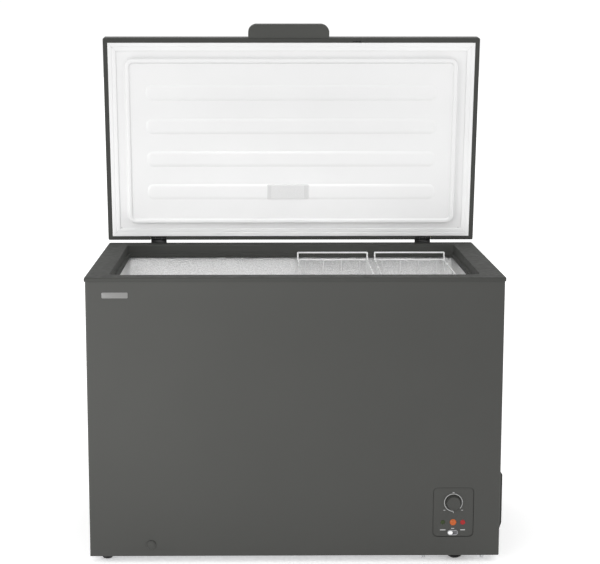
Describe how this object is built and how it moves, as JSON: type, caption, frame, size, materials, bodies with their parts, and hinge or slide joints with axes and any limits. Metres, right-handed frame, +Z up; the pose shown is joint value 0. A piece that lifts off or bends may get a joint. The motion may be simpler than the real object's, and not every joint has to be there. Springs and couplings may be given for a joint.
{
  "type": "chest freezer",
  "caption": "Free-standing chest freezer with an open hinged lid, embossed metal cavity with a step, hanging wire baskets and a front control panel.",
  "frame": {"origin": "on the floor, under the middle of the open freezer's box", "axes": "+Z up; +X to the right as seen from the front; +Y from the front to the back, so the front faces -Y"},
  "size_m": [1.144, 0.6669, 1.4735],
  "materials": {
    "painted_steel": "satin",
    "trim_plastic": "matte",
    "white_plastic": "satin",
    "gasket_rubber": "matte",
    "foam": "matte",
    "embossed_aluminium": "embossed",
    "zinc_steel": "satin",
    "copper": "satin",
    "black_plastic": "matte",
    "black_steel": "satin",
    "black_rubber": "matte",
    "white_wire": "gloss",
    "badge_grey": "gloss",
    "lamp_cover": "satin",
    "lamp_board": "matte",
    "green_lens": "gloss",
    "amber_lens": "gloss",
    "red_lens": "gloss",
    "switch_grey": "satin",
    "switch_white": "gloss"
  },
  "bodies": {
    "cabinet": {"front_panel": "painted_steel", "left_side_panel": "painted_steel", "right_side_panel": "painted_steel", "rear_panel": "painted_steel", "base_panel": "zinc_steel", "bay_shroud": "zinc_steel", "body_insulation": "foam", "liner_walls": "embossed_aluminium", "liner_floor": "embossed_aluminium", "evaporator_coil": "copper", "condenser_coil": "copper", "top_collar": "trim_plastic", "control_panel": "painted_steel", "green_lamp_lens": "green_lens", "amber_lamp_lens": "amber_lens", "red_lamp_lens": "red_lens", "switch_housing": "switch_grey", "thermostat_body": "zinc_steel", "badge_plate": "badge_grey", "side_vent_cover": "trim_plastic", "compressor_plate": "zinc_steel", "compressor": "black_steel", "compressor_grommets": "black_rubber", "bay_bolts": "zinc_steel", "start_relay_box": "black_plastic", "filter_drier": "copper", "refrigerant_pipes": "copper", "wiring_loom": "black_plastic", "cord_gland": "black_rubber", "foot_pads": "black_rubber", "roller_brackets": "zinc_steel", "roller_axles": "zinc_steel", "drain_tube": "white_plastic", "drain_outlet": "trim_plastic", "hinge_housings": "black_steel", "hinge_pins": "zinc_steel", "hinge_springs": "zinc_steel", "hinge_screws": "zinc_steel"},
    "lid": {"lid_skin": "painted_steel", "lid_frame": "trim_plastic", "lid_insulation": "foam", "lid_liner": "white_plastic", "lid_gasket": "gasket_rubber", "lid_handle": "trim_plastic", "lid_lamp_cover": "lamp_cover", "lid_lamp_board": "lamp_board", "lid_hinge_leaves": "black_steel", "lock_case": "zinc_steel"},
    "lock_barrel": {"lock_barrel": "zinc_steel"},
    "left_basket": {"left_basket_wires": "white_wire", "left_basket_rim": "white_wire"},
    "right_basket": {"right_basket_wires": "white_wire", "right_basket_rim": "white_wire"},
    "knob": {"thermostat_knob": "painted_steel", "thermostat_shaft": "zinc_steel"},
    "switch_slider": {"switch_slider": "switch_white"},
    "drain_cap": {"drain_cap": "painted_steel"},
    "drain_stopper": {"drain_stopper": "white_plastic"},
    "front_roller": {"front_roller": "black_plastic"},
    "rear_roller": {"rear_roller": "black_plastic"}
  },
  "joints": [
    {"name": "lid_hinge", "type": "hinge", "parent": "cabinet", "child": "lid", "pos_m": [0, 0.29, 0.808], "axis": [-1, 0, 0], "range_deg": [-84, 0], "stiffness_Nm_per_rad": 13, "springref_deg": 13.18},
    {"name": "left_basket_lift", "type": "slide", "parent": "cabinet", "child": "left_basket", "axis": [0, 0, 1], "range_m": [0, 0.24]},
    {"name": "right_basket_lift", "type": "slide", "parent": "cabinet", "child": "right_basket", "axis": [0, 0, 1], "range_m": [0, 0.24]},
    {"name": "knob_turn", "type": "hinge", "parent": "cabinet", "child": "knob", "pos_m": [0.4335, -0.324, 0.1695], "axis": [0, 1, 0], "range_deg": [0, 300]},
    {"name": "switch_slide", "type": "slide", "parent": "cabinet", "child": "switch_slider", "axis": [1, 0, 0], "range_m": [0, 0.008]},
    {"name": "lock_turn", "type": "hinge", "parent": "lid", "child": "lock_barrel", "pos_m": [0.19, 0.22441, 1.42251], "axis": [0, 0.1045, -0.9945], "range_deg": [0, 90]},
    {"name": "drain_cap_pull", "type": "slide", "parent": "cabinet", "child": "drain_cap", "axis": [0, -1, 0], "range_m": [0, 0.03]},
    {"name": "drain_stopper_lift", "type": "slide", "parent": "cabinet", "child": "drain_stopper", "axis": [0, 0, 1], "range_m": [0, 0.04]},
    {"name": "front_roller_spin", "type": "hinge", "parent": "cabinet", "child": "front_roller", "pos_m": [0.444, -0.2865, 0.028], "axis": [0, 1, 0], "continuous": true},
    {"name": "rear_roller_spin", "type": "hinge", "parent": "cabinet", "child": "rear_roller", "pos_m": [0.444, 0.2485, 0.028], "axis": [0, 1, 0], "continuous": true}
  ]
}
